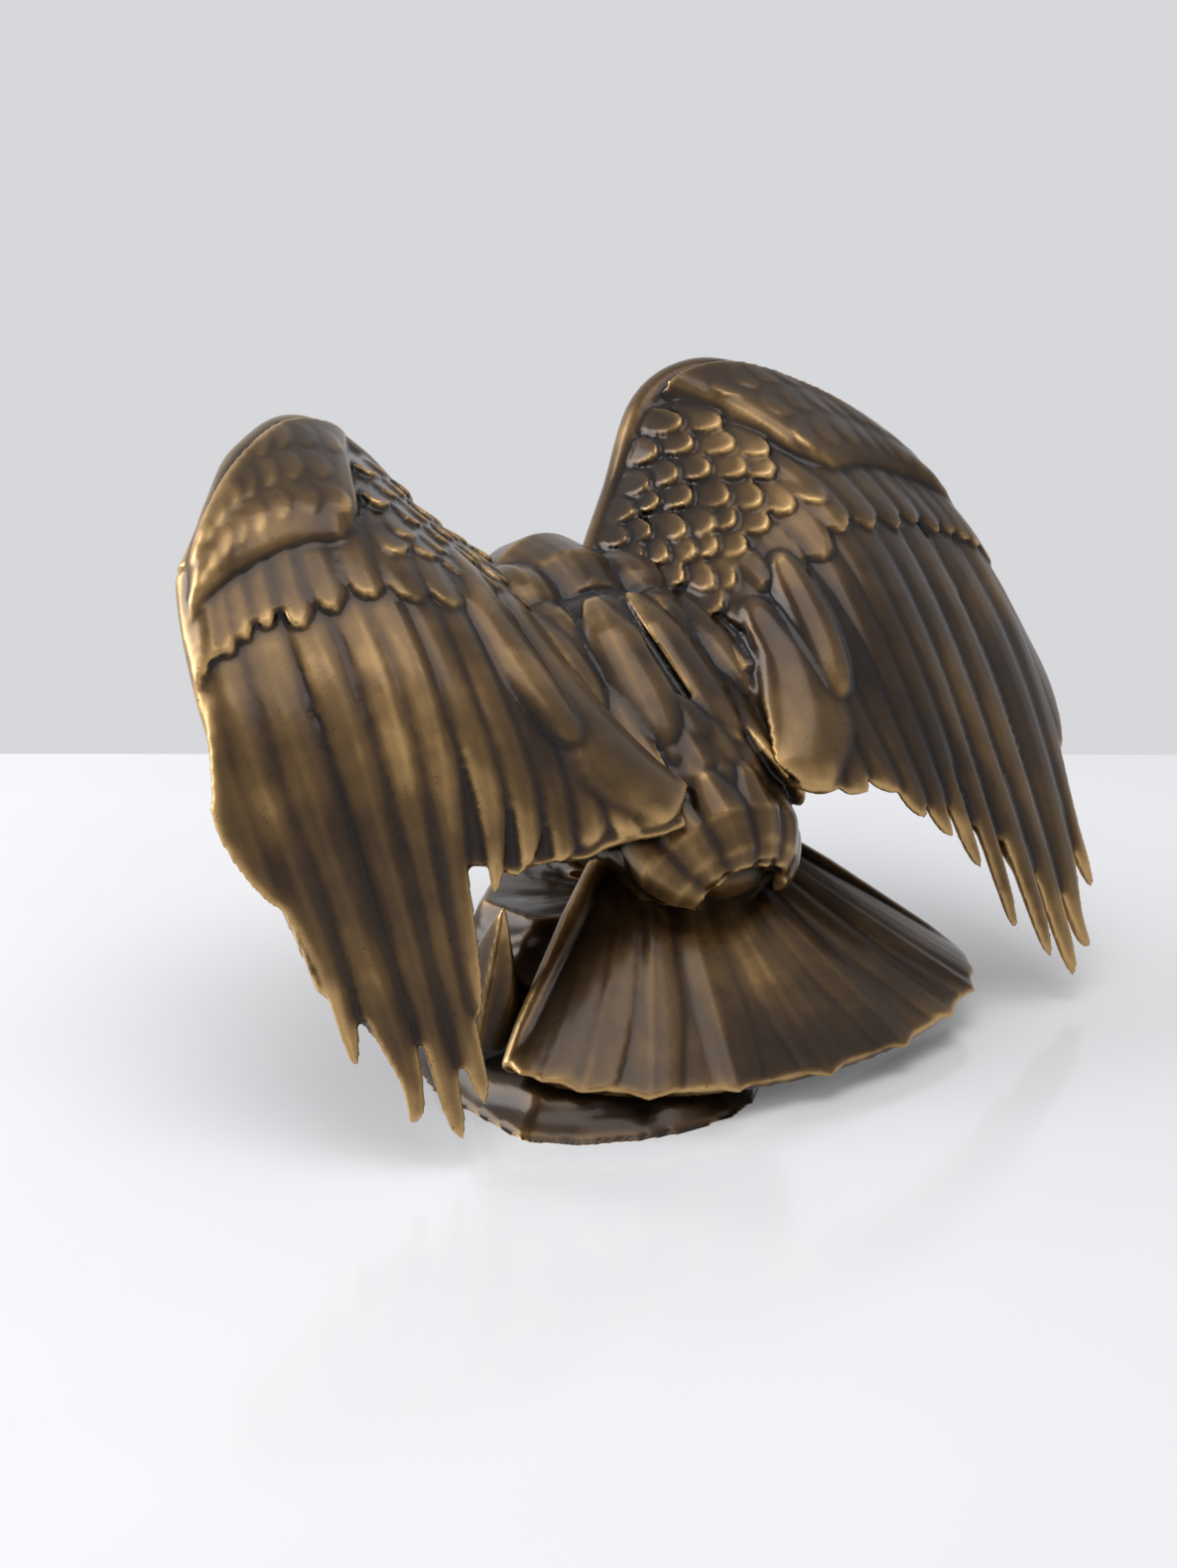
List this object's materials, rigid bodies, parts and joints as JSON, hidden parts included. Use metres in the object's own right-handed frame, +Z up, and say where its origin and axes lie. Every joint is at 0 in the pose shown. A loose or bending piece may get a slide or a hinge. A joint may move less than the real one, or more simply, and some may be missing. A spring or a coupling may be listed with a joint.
{
  "type": "hood ornament",
  "caption": "Cast eagle hood ornament with arched wings and fanned tail, bolted to a hollow rock pedestal with a threaded mounting hole underneath.",
  "frame": {"origin": "bottom centre of the whole ornament's bounding box, on the plane it stands on", "axes": "+Z up; the bird faces -Y, its tail points to +Y; its left wing is at +X"},
  "size_m": [0.206, 0.14, 0.131],
  "materials": {
    "patinated_brass": "dark brown patina, worn golden on the high spots, under clear lacquer",
    "plated_steel": "zinc plated"
  },
  "bodies": {
    "root": {"body": "patinated_brass", "left_wing": "patinated_brass", "right_wing": "patinated_brass", "tail": "patinated_brass", "left_leg": "patinated_brass", "right_leg": "patinated_brass", "rock_base": "patinated_brass", "shank_washers": "plated_steel", "shank_nuts": "plated_steel", "wing_set_screws": "plated_steel", "tail_screw": "plated_steel"}
  },
  "joints": []
}
